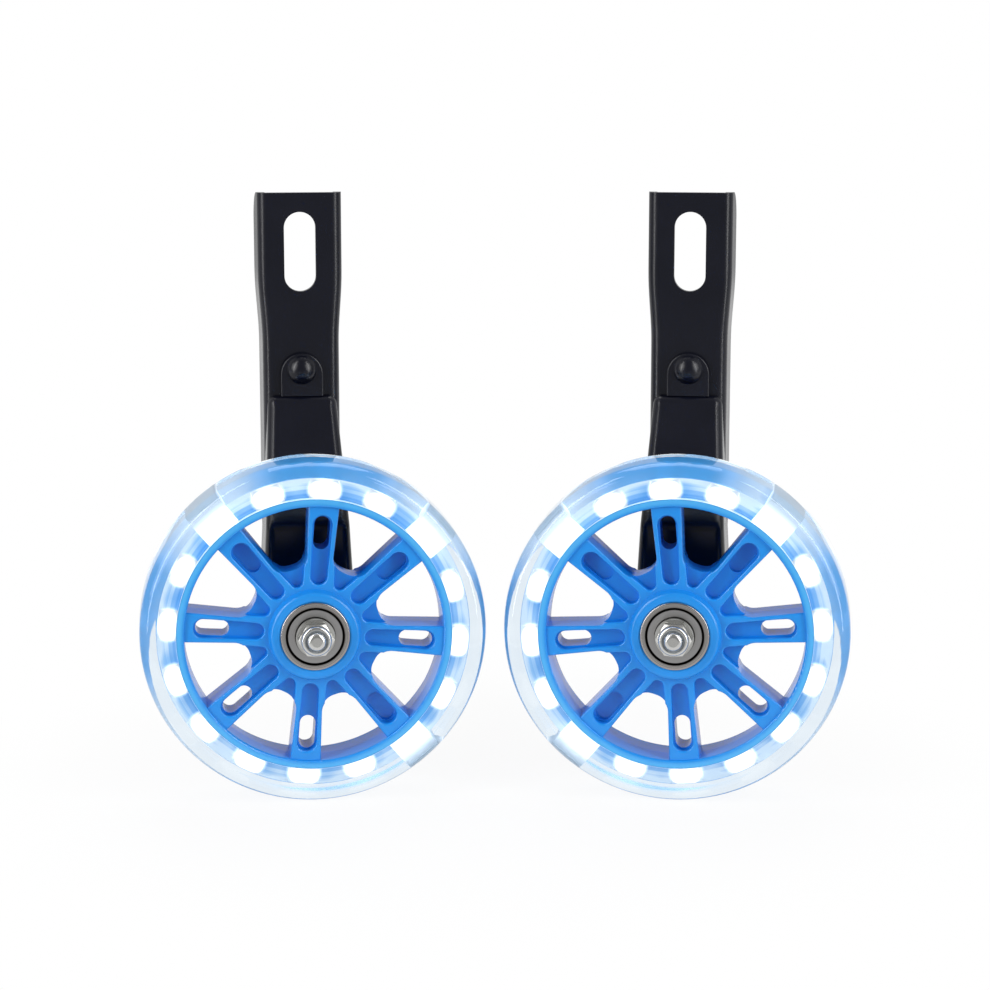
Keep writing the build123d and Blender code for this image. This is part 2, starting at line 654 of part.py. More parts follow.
with BuildSketch() as arm_hollow_side:
    with BuildLine():
        Polyline(
            (CHANNEL_DEPTH, SHOULDER_HEIGHT - INNER_DROP),
            (ARM_DEPTH + SHEET, ELBOW_HEIGHT - INNER_DROP),
            (ARM_DEPTH + SHEET, FOOT_BOTTOM),
            (CHANNEL_DEPTH, FOOT_BOTTOM),
            close=True,
        )
    make_face()
    inner_height = ELBOW_HEIGHT - INNER_DROP
    inner_elbow = arm_hollow_side.vertices().filter_by(lambda v: abs(v.Y - inner_height) < NEAR)
    fillet(inner_elbow, ELBOW_BEND - SHEET)
with BuildSketch() as arm_front:
    with BuildLine():
        Polyline(
            (-SHOULDER_WIDTH / 2, SHOULDER_HEIGHT),
            (-ELBOW_WIDTH / 2, ELBOW_HEIGHT),
            (-FOOT_WIDTH / 2, 0),
            (FOOT_WIDTH / 2, 0),
            (ELBOW_WIDTH / 2, ELBOW_HEIGHT),
            (SHOULDER_WIDTH / 2, SHOULDER_HEIGHT),
            close=True,
        )
    make_face()
    fillet(arm_front.vertices().group_by(Axis.Y)[-1], SHOULDER_CORNER)
    Circle(FOOT_WIDTH / 2)

with BuildPart() as arm_hollow:
    with BuildSketch(Plane.YZ):
        add(arm_hollow_side.sketch)
    extrude(amount=FOOT_WIDTH, both=True)
    with BuildSketch(back_plane(0)):
        add(arm_front.sketch)
        offset(amount=-SHEET)
    extrude(amount=CHANNEL_DEPTH, mode=Mode.INTERSECT)

with BuildPart() as wheel_arm:
    with BuildSketch(Plane.YZ):
        add(arm_side.sketch)
    extrude(amount=FOOT_WIDTH, both=True)
    with BuildSketch(back_plane(0)):
        add(arm_front.sketch)
    extrude(amount=CHANNEL_DEPTH, mode=Mode.INTERSECT)
    pressed_face = wheel_arm.faces().filter_by(lambda f: f.normal_at().Y < -FACING)
    fillet(pressed_face.edges().filter_by(Axis.X, reverse=True), ARM_EDGE)
    add(arm_hollow.part, mode=Mode.SUBTRACT)
    tab_top = RIVET_HEIGHT + TAB_MARGIN
    with BuildSketch(back_plane(TAB_DEPTH)):
        with Locations((0, tab_top - TAB_WIDTH / 2)):
            Circle(TAB_WIDTH / 2)
        with Locations((0, SHOULDER_HEIGHT)):
            Rectangle(
                TAB_WIDTH,
                tab_top - TAB_WIDTH / 2 - SHOULDER_HEIGHT,
                align=(Align.CENTER, Align.MIN),
            )
    extrude(amount=SHEET)
    tab_edges = wheel_arm.edges().filter_by(lambda e: abs(e.center().Y - TAB_DEPTH) < NEAR)
    fillet(tab_edges.filter_by(lambda e: e.center().Z > SHOULDER_HEIGHT + TAB_EDGE), TAB_EDGE)
    with BuildSketch(back_plane(0)):
        Circle(bolt_hole / 2)
        with Locations((0, RIVET_HEIGHT)):
            Circle(RIVET_SHANK / 2 + PRESS_GAP)
    extrude(amount=CHANNEL_DEPTH, mode=Mode.SUBTRACT)

# Dome head rivet through the tab and the channel
with BuildPart() as arm_rivet:
    with BuildSketch(Plane.XY.offset(RIVET_HEIGHT)):
        with BuildLine():
            dome_top = (0, TAB_DEPTH - RIVET_DOME)
            TangentArc(dome_top, (RIVET_HEAD / 2, TAB_DEPTH), tangent=(1, 0))
            Polyline(
                (RIVET_HEAD / 2, TAB_DEPTH),
                (RIVET_SHANK / 2, TAB_DEPTH),
                (RIVET_SHANK / 2, CHANNEL_DEPTH + SHEET),
                (RIVET_TAIL / 2, CHANNEL_DEPTH + SHEET),
                (RIVET_TAIL / 2, CHANNEL_DEPTH + SHEET + RIVET_TAIL_HEIGHT),
                (0, CHANNEL_DEPTH + SHEET + RIVET_TAIL_HEIGHT),
                dome_top,
            )
        make_face()
    revolve(axis=Axis((0, 0, RIVET_HEIGHT), (0, 1, 0)))

# Each piece of one unit, with its depth along the axle and whether it turns with the wheel
PIECES = [
    ("mounting_channel", mounting_channel, 0, False),
    ("wheel_arm", wheel_arm, 0, False),
    ("arm_rivet", arm_rivet, 0, False),
    ("axle_bolt", axle_bolt, 0, False),
    ("axle_nut", axle_nut, 0, False),
    ("nut_insert", nut_insert, 0, False),
    ("nut_washer", nut_washer, 0, False),
    ("arm_spacer", arm_spacer, 0, False),
    ("axle_sleeve", axle_sleeve, 0, False),
    ("bearing_spacer", bearing_spacer, 0, False),
    ("magnet_ring", magnet_ring, 0, False),
    ("wheel_hub", wheel_hub, 0, True),
    ("tyre", tyre, 0, True),
    ("lamp_strip", lamp_strip, 0, True),
    ("lamp_carrier", lamp_carrier, 0, True),
    ("lamps", lamps, 0, True),
    ("coil_blocks", coil_blocks, 0, True),
    ("core_pins", core_pins, 0, True),
]
for end, depth in (("front", -BEARING_OFFSET), ("rear", BEARING_OFFSET)):
    PIECES += [
        (f"{end}_bearing_outer_ring", outer_ring, depth, True),
        (f"{end}_bearing_inner_ring", inner_ring, depth, False),
        (f"{end}_bearing_balls", balls, depth, True),
        (f"{end}_bearing_cage", cage, depth, True),
        (f"{end}_bearing_shields", shields, depth, True),
    ]

# The two units, turned in towards each other, with the row's box centred over the ground under the wheels
UNITS = {"left": -1, "right": 1}
placed = {}
for side, sign in UNITS.items():
    stand = Location((sign * WHEEL_SPACING / 2, 0, TYRE_DIAMETER / 2), (0, 0, -sign * TURN_IN))
    for name, piece, depth, turns in PIECES:
        spin = Location((0, depth, 0), (0, -sign * WHEEL_TURN if turns else 0, 0))
        placed[f"{side}_{name}"] = piece.part.moved(stand * spin)
boxes = [piece.bounding_box() for piece in placed.values()]
setback = (min(box.min.Y for box in boxes) + max(box.max.Y for box in boxes)) / 2
print("axle middle planes lie at Y", round(-setback, 4))

os.makedirs("parts", exist_ok=True)
for name, piece in placed.items():
    settled = piece.moved(Location((0, -setback, 0)))
    settled.label = name
    export_step(settled, f"parts/{name}.step")
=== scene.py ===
import json
from math import pi, radians

import bmesh
import bpy
from mathutils import Matrix, Vector


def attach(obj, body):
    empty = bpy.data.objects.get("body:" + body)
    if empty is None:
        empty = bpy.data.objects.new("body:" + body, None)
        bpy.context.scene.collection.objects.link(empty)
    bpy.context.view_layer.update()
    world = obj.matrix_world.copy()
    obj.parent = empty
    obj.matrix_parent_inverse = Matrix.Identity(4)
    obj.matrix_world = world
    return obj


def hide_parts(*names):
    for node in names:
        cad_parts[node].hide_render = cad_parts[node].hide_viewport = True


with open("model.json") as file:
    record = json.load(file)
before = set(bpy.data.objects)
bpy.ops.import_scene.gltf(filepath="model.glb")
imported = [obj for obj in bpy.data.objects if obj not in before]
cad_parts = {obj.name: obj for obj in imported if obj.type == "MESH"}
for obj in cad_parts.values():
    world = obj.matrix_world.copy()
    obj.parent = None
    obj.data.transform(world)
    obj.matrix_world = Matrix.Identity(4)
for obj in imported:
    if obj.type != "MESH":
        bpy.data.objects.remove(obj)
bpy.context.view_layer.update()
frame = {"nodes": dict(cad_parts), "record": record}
nodes = frame["nodes"]

MM = 0.001
SIDES = ("left", "right")
HANDS = (-1, 1)

# The wheel's sizes, as the solids have them. Turns are from straight up
TYRE_RADIUS = 55.0 * MM
TYRE_WIDTH = 24.0 * MM
TYRE_SHOULDER = 5.0 * MM
TYRE_LIP = 1.0 * MM
RIM_RADIUS = 43.7 * MM
RIM_WIDTH = 23.6 * MM
RIM_WALL = 2.6 * MM
SPOKE_FACE = 10.9 * MM
RECESS_DEPTH = 2.8 * MM
CARRIER_RADIUS = 49.7 * MM
BEARING_RADIUS = 11.0 * MM
LAMP_LENGTH = 9.5 * MM
LAMP_HEIGHT = 5.4 * MM
LAMP_PITCH = radians(22.5)
BLOCK_HEIGHT = 9.2 * MM
BLOCK_PITCH = radians(90)
WHEEL_TURN = radians(49.8)

# The clear tyre's mesh, which dips into the rim so that no air shows between them
TYRE_SEAT = 0.3 * MM
TYRE_STEPS = 240
SHOULDER_STEPS = 14
SHARP_ANGLE = radians(30)
MERGE_DISTANCE = 0.001 * MM

# Pattern sizes. The moulded skin and the steel's rings are coarser than real ones, so that they show
PEEL_SIZE = 1.4 * MM
PEEL_DEPTH = 0.05 * MM
COAT_CLOUD = 18.0 * MM
SKIN_SIZE = 1.2 * MM
SKIN_DEPTH = 0.03 * MM
FLOW_CLOUD = 14.0 * MM
TYRE_RING = 0.9 * MM
TYRE_RING_DEPTH = 0.04 * MM
CARRIER_RING = 1.1 * MM
CARRIER_CLOUD = 11.0 * MM
STEEL_RING = 0.35 * MM

# Depths below the rim's and the carrier's outer walls at which the rim's painted glow and the carrier
# wall's own blue start and are full
RIM_PAINTED_GLOW_START = 0.12 * MM
RIM_PAINTED_GLOW_FULL = 0.03 * MM
CARRIER_SKIN_START = 0.2 * MM
CARRIER_SKIN_FULL = 0.05 * MM

# A lamp's glow on its lens, and the painted glow round it on the carrier, by the distance from its middle,
# with its edge at 1, and how square the glow is
LENS_FULL = 0.85
LENS_FADED = 1.2
CARRIER_FULL = 0.92
CARRIER_FADED = 1.3
GLOW_SQUARENESS = 3.0

# Turns from a white block between which the carrier's outer wall grows bluer
BLUE_START = radians(8)
BLUE_FULL = radians(30)

# A Mix node's colour sockets, whose names its number sockets have too
MIX_FIRST = 6
MIX_SECOND = 7
MIX_RESULT = 2

# Tones of the turned steels, by the share of the bearing's radius. The near-black bands are painted shade
# in the groove between the shield and the outer ring, and the shield's dark bore is painted shade by the
# washer
ZINC_TONES = [(0.0, "d8d8d5"), (0.5, "dededb"), (0.55, "d4d4d1")]
RACE_TONES = [
    (0.0, "a09e9d"),
    (0.8, "a09e9d"),
    (0.82, "0c0a08"),
    (0.845, "0c0a08"),
    (0.86, "a5a2a0"),
    (0.96, "b8b5b3"),
]
SHIELD_TONES = [(0.57, "3a3634"), (0.6, "abaaa9"), (0.77, "b1b0b0"), (0.785, "0c0a08")]
ZINC_PLATED = ("axle_bolt", "axle_nut", "nut_washer", "arm_spacer", "axle_sleeve")

# Where the photograph was taken from
CAMERA_DISTANCE = 800.0 * MM
CAMERA_HEIGHT = 240.0 * MM
CAMERA_PITCH = radians(10.07)
CAMERA_LENS = 93.07
CAMERA_SENSOR = 36.0

# Studio levels: for scattered rays, for mirrored rays and for rays through clear pieces
AMBIENT = 0.22
HIGH_FRONT_GLOSS = 0.25
LOW_FRONT_GLOSS = 0.5
BACK_GLOSS = 0.6
FRONT_CLEAR = 0.42
FLOOR_GLOSS = 0.8
FAR_FLOOR_GLOSS = 1.0

# Where those levels change, by a ray's rise and by how far it points to the back
LOW_FRONT_RISE = -0.22
HIGH_FRONT_RISE = -0.04
GLOSS_FRONT = -0.5
GLOSS_BACK = 0.3
CLEAR_FRONT = -0.9
CLEAR_BACK = -0.4

# The floor in metres: its shadow and its mirrored level change between two distances from the middle
FLOOR_WIDTH = 2.4
FLOOR_DEPTH = 1.8
FLOOR_BACK = 0.7
SHADOW_SHARE = 0.09
SHADOW_NEAR = 0.1
SHADOW_FAR = 0.19
MIRROR_NEAR = 0.2
MIRROR_FAR = 0.6

# Lamps in metres. Places across are for the right one of a pair
LAMP_AIM = 90.0 * MM
BOX_SIZE = 1.0
SIDE_BOX_X, SIDE_BOX_Y, SIDE_BOX_Z = 1.1, -0.75, 0.6
SIDE_BOX_LEVEL = 0.36
TOP_BOX_PLACE = (0.0, 0.6, 1.4)
TOP_BOX_LEVEL = 0.4
STRIP_X, STRIP_Y, STRIP_Z = 0.6, -0.4, 0.4
STRIP_WIDTH = 0.12
STRIP_HEIGHT = 1.1
STRIP_LEVEL = 0.42


def joint_of(name):
    """The record's joint with that name."""
    return next(j for j in frame["record"]["behaviour"]["joints"] if j["name"] == name)


def wheel_axes(side):
    """A wheel's centre, and its own axes: across, up and out along the axle."""
    joint = joint_of(f"{side}_wheel_spin")
    out = -Vector(joint["axis"]).normalized()
    up = Vector((0, 0, 1))
    return Vector(joint["pos_m"]), up.cross(out), up, out


# Camera
wheel_line = joint_of("left_wheel_spin")["pos_m"][1]
camera_data = bpy.data.cameras.new("camera")
camera_data.sensor_width = CAMERA_SENSOR
camera_data.lens = CAMERA_LENS
camera = bpy.data.objects.new("camera", camera_data)
camera.location = (0, wheel_line - CAMERA_DISTANCE, CAMERA_HEIGHT)
camera.rotation_euler = (pi / 2 - CAMERA_PITCH, 0, 0)
bpy.context.scene.collection.objects.link(camera)
bpy.context.scene.camera = camera
bpy.context.scene.view_settings.view_transform = "Standard"


# Colours, nodes and materials
def linear(hex_code):
    """An sRGB hex colour as linear RGBA."""
    channels = [int(hex_code[k : k + 2], 16) / 255 for k in (0, 2, 4)]
    bent = [c / 12.92 if c <= 0.04045 else ((c + 0.055) / 1.055) ** 2.4 for c in channels]
    return (*bent, 1.0)


def add_node(tree, kind, settings=None, values=None, links=None, stops=()):
    """One node: its settings, its sockets' values, what feeds its sockets, and a ramp's stops."""
    node = tree.nodes.new(kind)
    for name, value in (settings or {}).items():
        setattr(node, name, value)
    for name, value in (values or {}).items():
        node.inputs[name].default_value = value
    for name, source in (links or {}).items():
        tree.links.new(source, node.inputs[name])
    ramp = node.color_ramp.elements if stops else ()
    for place, _ in stops[2:]:
        ramp.new(place)
    for element, (place, hex_code) in zip(ramp, stops):
        element.position = place
        element.color = linear(hex_code)
    return node


def start_material(name):
    """An empty material and its node tree."""
    material = bpy.data.materials.new(name)
    material.use_nodes = True
    material.node_tree.nodes.clear()
    return material, material.node_tree


def show(tree, shader):
    """Sends a shader to the material's surface."""
    add_node(tree, "ShaderNodeOutputMaterial", links={"Surface": shader.outputs[0]})


def paint(material, *names):
    """Gives CAD nodes a material."""
    for name in names:
        mesh = nodes[name].data
        mesh.materials.clear()
        mesh.materials.append(material)


def wheel_place(tree, side):
    """A point's place on a wheel: its radius, its turn from straight up and its place along the axle."""
    centre, across, up, out = wheel_axes(side)
    turn = Matrix((across, up, out))
    coords = add_node(tree, "ShaderNodeTexCoord")
    local = add_node(
        tree,
        "ShaderNodeMapping",
        values={"Rotation": turn.to_euler(), "Location": -(turn @ centre)},
        links={"Vector": coords.outputs["Object"]},
    )
    parts = add_node(tree, "ShaderNodeSeparateXYZ", links={0: local.outputs[0]})
    flat = add_node(
        tree,
        "ShaderNodeVectorMath",
        {"operation": "MULTIPLY"},
        {1: (1, 1, 0)},
        {0: local.outputs[0]},
    )
    radius = add_node(tree, "ShaderNodeVectorMath", {"operation": "LENGTH"}, links={0: flat.outputs[0]})
    turned = add_node(
        tree,
        "ShaderNodeMath",
        {"operation": "ARCTAN2"},
        links={0: parts.outputs["X"], 1: parts.outputs["Y"]},
    )
    return radius.outputs["Value"], turned.outputs[0], parts.outputs["Z"]


def make_powder_coat():
    """Black powder coat, baked on pressed steel: thick and glossy, with soft highlights and a faint
    orange peel."""
    material, tree = start_material("black powder coat")
    coords = add_node(tree, "ShaderNodeTexCoord")
    peel = add_node(
        tree,
        "ShaderNodeTexNoise",
        values={"Scale": 1 / PEEL_SIZE, "Detail": 2.0, "Roughness": 0.5},
        links={"Vector": coords.outputs["Object"]},
    )
    cloud = add_node(
        tree,
        "ShaderNodeTexNoise",
        values={"Scale": 1 / COAT_CLOUD, "Detail": 3.0},
        links={"Vector": coords.outputs["Object"]},
    )
    tone = add_node(
        tree,
        "ShaderNodeValToRGB",
        links={"Fac": cloud.outputs["Fac"]},
        stops=[(0.3, "090b17"), (0.7, "0c0e1b")],
    )
    polish = add_node(
        tree,
        "ShaderNodeMapRange",
        values={"From Min": 0.25, "From Max": 0.75, "To Min": 0.22, "To Max": 0.29},
        links={"Value": cloud.outputs["Fac"]},
    )
    bump = add_node(
        tree,
        "ShaderNodeBump",
        values={"Strength": 0.12, "Distance": PEEL_DEPTH},
        links={"Height": peel.outputs["Fac"]},
    )
    shader = add_node(
        tree,
        "ShaderNodeBsdfPrincipled",
        values={"Specular IOR Level": 0.4},
        links={
            "Base Color": tone.outputs["Color"],
            "Roughness": polish.outputs[0],
            "Normal": bump.outputs["Normal"],
        },
    )
    show(tree, shader)
    return material


def paint_rim_glow(tree, radius):
    """Painted glow on the rim's outer wall: emission that stands in for the lamps' light there."""
    light = add_node(
        tree,
        "ShaderNodeMapRange",
        values={
            "From Min": RIM_RADIUS - RIM_PAINTED_GLOW_START,
            "From Max": RIM_RADIUS - RIM_PAINTED_GLOW_FULL,
            "To Max": 0.6,
        },
        links={"Value": radius},
    )
    return light.outputs[0]


def hub_painted_shade_and_light(tree, radius, depth, painted_rim_glow):
    """Painted shade and light on the hub's blue: darkest on a recess's floor, painted paler on the rim, and
    palest under the painted glow.
    """
    # Painted shade: the blue is darkened below the spoke face, most on a recess's floor
    height = add_node(
        tree,
        "ShaderNodeMapRange",
        {"interpolation_type": "SMOOTHSTEP"},
        {"From Min": SPOKE_FACE - RECESS_DEPTH, "From Max": SPOKE_FACE, "To Min": -0.06, "To Max": 0.3},
        {"Value": depth},
    )
    # Painted light: the rim is painted paler towards its outer wall
    painted_paler_rim = add_node(
        tree,
        "ShaderNodeMapRange",
        {"interpolation_type": "SMOOTHSTEP"},
        {"From Min": RIM_RADIUS - RIM_WALL, "From Max": RIM_RADIUS - RIM_WALL / 3, "To Max": 0.25},
        {"Value": radius},
    )
    painted_shade_and_rim_light = add_node(
        tree,
        "ShaderNodeMath",
        {"operation": "ADD"},
        links={0: height.outputs[0], 1: painted_paler_rim.outputs[0]},
    )
    pale = add_node(tree, "ShaderNodeMath", {"operation": "ADD"}, links={0: painted_shade_and_rim_light.outputs[0], 1: painted_rim_glow})
    return pale.outputs[0]


def make_hub_blue(side):
    """Blue nylon, injection moulded and glossy. Its blue carries painted shade, darkest on a recess's
    floor, a painted paler rim and, on the rim's outer wall, a painted glow."""
    material, tree = start_material(f"blue moulded nylon {side}")
    radius, _, depth = wheel_place(tree, side)
    painted_rim_glow = paint_rim_glow(tree, radius)
    coords = add_node(tree, "ShaderNodeTexCoord")
    skin = add_node(
        tree,
        "ShaderNodeTexNoise",
        values={"Scale": 1 / SKIN_SIZE, "Detail": 2.0, "Roughness": 0.5},
        links={"Vector": coords.outputs["Object"]},
    )
    flow = add_node(
        tree,
        "ShaderNodeTexNoise",
        values={"Scale": 1 / FLOW_CLOUD, "Detail": 2.0},
        links={"Vector": coords.outputs["Object"]},
    )
    drift_and_painted_light = add_node(
        tree,
        "ShaderNodeMath",
        {"operation": "MULTIPLY_ADD"},
        {1: 0.08},
        {0: flow.outputs["Fac"], 2: hub_painted_shade_and_light(tree, radius, depth, painted_rim_glow)},
    )
    # The stops: painted recess shade, the ribs' blue, the painted paler rim and the palest tone under the
    # painted glow
    tone = add_node(
        tree,
        "ShaderNodeValToRGB",
        links={"Fac": drift_and_painted_light.outputs[0]},
        stops=[(0.0, "0c84e0"), (0.34, "1c8ee5"), (0.6, "4fb0ef"), (0.95, "d6eaf9")],
    )
    polish = add_node(
        tree,
        "ShaderNodeMapRange",
        values={"From Min": 0.3, "From Max": 0.7, "To Min": 0.16, "To Max": 0.23},
        links={"Value": skin.outputs["Fac"]},
    )
    bump = add_node(
        tree,
        "ShaderNodeBump",
        values={"Strength": 0.06, "Distance": SKIN_DEPTH},
        links={"Height": skin.outputs["Fac"]},
    )
    shader = add_node(
        tree,
        "ShaderNodeBsdfPrincipled",
        values={"IOR": 1.53},
        links={
            "Base Color": tone.outputs["Color"],
            "Roughness": polish.outputs[0],
            "Normal": bump.outputs["Normal"],
            # Painted glow: the hub emits its own tone on the rim's outer wall, in place of the lamps' light
            "Emission Color": tone.outputs["Color"],
            "Emission Strength": painted_rim_glow,
        },
    )
    show(tree, shader)
    return material


def make_tyre_clear(side):
    """Clear polyurethane, cast in a turned mould, which leaves fine rings on its walls."""
    material, tree = start_material(f"clear cast polyurethane {side}")
    radius, _, _ = wheel_place(tree, side)
    rings = add_node(
        tree,
        "ShaderNodeTexNoise",
        {"noise_dimensions": "1D"},
        {"Scale": 1 / TYRE_RING, "Detail": 2.0},
        {"W": radius},
    )
    bump = add_node(
        tree,
        "ShaderNodeBump",
        values={"Strength": 0.25, "Distance": TYRE_RING_DEPTH},
        links={"Height": rings.outputs["Fac"]},
    )
    shader = add_node(
        tree,
        "ShaderNodeBsdfPrincipled",
        values={
            "Base Color": linear("e6f0f8"),
            "IOR": 1.49,
            "Roughness": 0.05,
            "Transmission Weight": 1.0,
        },
        links={"Normal": bump.outputs["Normal"]},
    )
    show(tree, shader)
    return material


def nearest_swing(tree, side, turned, pitch):
    """A point's turn from the nearest of the places that stand round a wheel at an even pitch."""
    start = WHEEL_TURN if side == "left" else -WHEEL_TURN
    swing = add_node(tree, "ShaderNodeMath", {"operation": "SUBTRACT"}, {1: start}, {0: turned})
    nearest = add_node(
        tree,
        "ShaderNodeMath",
        {"operation": "PINGPONG"},
        {1: pitch / 2},
        {0: swing.outputs[0]},
    )
    return nearest.outputs[0]


def lamp_reach(tree, side, radius, turned):
    """How far a point is from the middle of the nearest lamp: 1 at the lamp's edge."""
    along = add_node(
        tree,
        "ShaderNodeMath",
        {"operation": "MULTIPLY"},
        links={0: nearest_swing(tree, side, turned, LAMP_PITCH), 1: radius},
    )
    middle = RIM_RADIUS + LAMP_HEIGHT / 2
    rise = add_node(tree, "ShaderNodeMath", {"operation": "SUBTRACT"}, {1: middle}, {0: radius})
    height = add_node(tree, "ShaderNodeMath", {"operation": "ABSOLUTE"}, links={0: rise.outputs[0]})
    shares = []
    for distance, size in ((along, LAMP_LENGTH), (height, LAMP_HEIGHT)):
        share = add_node(
            tree,
            "ShaderNodeMath",
            {"operation": "DIVIDE"},
            {1: size / 2},
            {0: distance.outputs[0]},
        )
        raised = add_node(
            tree,
            "ShaderNodeMath",
            {"operation": "POWER"},
            {1: GLOW_SQUARENESS},
            {0: share.outputs[0]},
        )
        shares.append(raised.outputs[0])
    both = add_node(tree, "ShaderNodeMath", {"operation": "ADD"}, links={0: shares[0], 1: shares[1]})
    reach = add_node(
        tree,
        "ShaderNodeMath",
        {"operation": "POWER"},
        {1: 1 / GLOW_SQUARENESS},
        {0: both.outputs[0]},
    )
    return reach.outputs[0]


def make_lamp_light(side):
    """A lit white lamp: its glow is full in the middle and a little cooler at the lens's edges."""
    material, tree = start_material(f"lit lamp lens {side}")
    radius, turned, _ = wheel_place(tree, side)
    glow = add_node(
        tree,
        "ShaderNodeMapRange",
        {"interpolation_type": "SMOOTHSTEP"},
        {"From Min": LENS_FADED, "From Max": LENS_FULL},
        {"Value": lamp_reach(tree, side, radius, turned)},
    )
    tone = add_node(
        tree,
        "ShaderNodeValToRGB",
        links={"Fac": glow.outputs[0]},
        stops=[(0.0, "d3e5f7"), (0.5, "f4f9ff"), (1.0, "ffffff")],
    )
    strength = add_node(
        tree,
        "ShaderNodeMapRange",
        values={"To Min": 0.9, "To Max": 1.7},
        links={"Value": glow.outputs[0]},
    )
    light = add_node(
        tree,
        "ShaderNodeEmission",
        links={"Color": tone.outputs["Color"], "Strength": strength.outputs[0]},
    )
    show(tree, light)
    return material


def make_block_white(side):
    """White moulded bobbin with a painted lamp glow: its tone and emission are brightest near the rim and
    greyer at its outer end.
    """
    material, tree = start_material(f"white moulded bobbin {side}")
    radius, _, _ = wheel_place(tree, side)
    out = add_node(
        tree,
        "ShaderNodeMapRange",
        values={"From Min": RIM_RADIUS, "From Max": RIM_RADIUS + BLOCK_HEIGHT},
        links={"Value": radius},
    )
    # Painted shade: the tone greys towards the block's outer end, further from the lamps
    tone = add_node(
        tree,
        "ShaderNodeValToRGB",
        links={"Fac": out.outputs[0]},
        stops=[(0.0, "ffffff"), (0.65, "f4f8fa"), (1.0, "bccfe0")],
    )
    # Painted glow: emission that stands in for the lamps' light, fading towards the block's outer end
    glow = add_node(
        tree,
        "ShaderNodeMapRange",
        {"interpolation_type": "SMOOTHSTEP"},
        {"From Min": 0.6, "From Max": 1.0, "To Min": 0.6, "To Max": 0.1},
        {"Value": out.outputs[0]},
    )
    shader = add_node(
        tree,
        "ShaderNodeBsdfPrincipled",
        values={"Roughness": 0.5},
        links={
            "Base Color": tone.outputs["Color"],
            "Emission Color": tone.outputs["Color"],
            "Emission Strength": glow.outputs[0],
        },
    )
    show(tree, shader)
    return material


def carrier_streaks(tree, radius):
    """The carrier's own blues: turned rings in soft clouds, paler towards its outer wall."""
    coords = add_node(tree, "ShaderNodeTexCoord")
    rings = add_node(
        tree,
        "ShaderNodeTexNoise",
        {"noise_dimensions": "1D"},
        {"Scale": 1 / CARRIER_RING, "Detail": 3.0, "Roughness": 0.6},
        {"W": radius},
    )
    cloud = add_node(
        tree,
        "ShaderNodeTexNoise",
        values={"Scale": 1 / CARRIER_CLOUD, "Detail": 1.0},
        links={"Vector": coords.outputs["Object"]},
    )
    out = add_node(
        tree,
        "ShaderNodeMapRange",
        values={"From Min": RIM_RADIUS, "From Max": CARRIER_RADIUS, "To Min": -0.45, "To Max": 0.25},
        links={"Value": radius},
    )
    streak = add_node(
        tree,
        "ShaderNodeMath",
        {"operation": "MULTIPLY_ADD"},
        {1: 0.6},
        {0: rings.outputs["Fac"], 2: out.outputs[0]},
    )
    place = add_node(
        tree,
        "ShaderNodeMath",
        {"operation": "ADD"},
        links={0: streak.outputs[0], 1: cloud.outputs["Fac"]},
    )
    tone = add_node(
        tree,
        "ShaderNodeValToRGB",
        links={"Fac": place.outputs[0]},
        stops=[(0.0, "2c84d2"), (0.35, "5ca3df"), (0.65, "97c3ea"), (0.9, "dcebf8")],
    )
    return tone.outputs["Color"]


def carrier_wall_blue(tree, side, radius, turned):
    """The share of plain blue on the carrier's outer wall, which grows away from the white blocks."""
    wall = add_node(
        tree,
        "ShaderNodeMapRange",
        values={
            "From Min": CARRIER_RADIUS - CARRIER_SKIN_START,
            "From Max": CARRIER_RADIUS - CARRIER_SKIN_FULL,
        },
        links={"Value": radius},
    )
    growth = add_node(
        tree,
        "ShaderNodeMapRange",
        {"interpolation_type": "SMOOTHSTEP"},
        {"From Min": BLUE_START, "From Max": BLUE_FULL, "To Min": 0.15},
        {"Value": nearest_swing(tree, side, turned, BLOCK_PITCH)},
    )
    blue = add_node(
        tree,
        "ShaderNodeMath",
        {"operation": "MULTIPLY"},
        links={0: wall.outputs[0], 1: growth.outputs[0]},
    )
    return blue.outputs[0]


def make_carrier_blue(side):
    """Milky blue plastic with turned rings, and a painted glow: it emits white round each lamp and a faint
    glow elsewhere, and stays blue on its outer wall."""
    material, tree = start_material(f"milky blue plastic {side}")
    radius, turned, _ = wheel_place(tree, side)
    glow = add_node(
        tree,
        "ShaderNodeMapRange",
        {"interpolation_type": "SMOOTHSTEP"},
        {"From Min": CARRIER_FADED, "From Max": CARRIER_FULL},
        {"Value": lamp_reach(tree, side, radius, turned)},
    )
    # Painted light: white is mixed in round each lamp
    lit = add_node(
        tree,
        "ShaderNodeMix",
        {"data_type": "RGBA"},
        {MIX_SECOND: linear("ffffff")},
        {"Factor": glow.outputs[0], MIX_FIRST: carrier_streaks(tree, radius)},
    )
    shown = add_node(
        tree,
        "ShaderNodeMix",
        {"data_type": "RGBA"},
        {MIX_SECOND: linear("3f9fe2")},
        {"Factor": carrier_wall_blue(tree, side, radius, turned), MIX_FIRST: lit.outputs[MIX_RESULT]},
    )
    # Painted glow: emission that stands in for the lamps' light in the carrier
    strength = add_node(
        tree,
        "ShaderNodeMapRange",
        values={"To Min": 0.12, "To Max": 0.7},
        links={"Value": glow.outputs[0]},
    )
    shader = add_node(
        tree,
        "ShaderNodeBsdfPrincipled",
        values={"Roughness": 0.45},
        links={
            "Base Color": shown.outputs[MIX_RESULT],
            "Emission Color": shown.outputs[MIX_RESULT],
            "Emission Strength": strength.outputs[0],
        },
    )
    show(tree, shader)
    return material


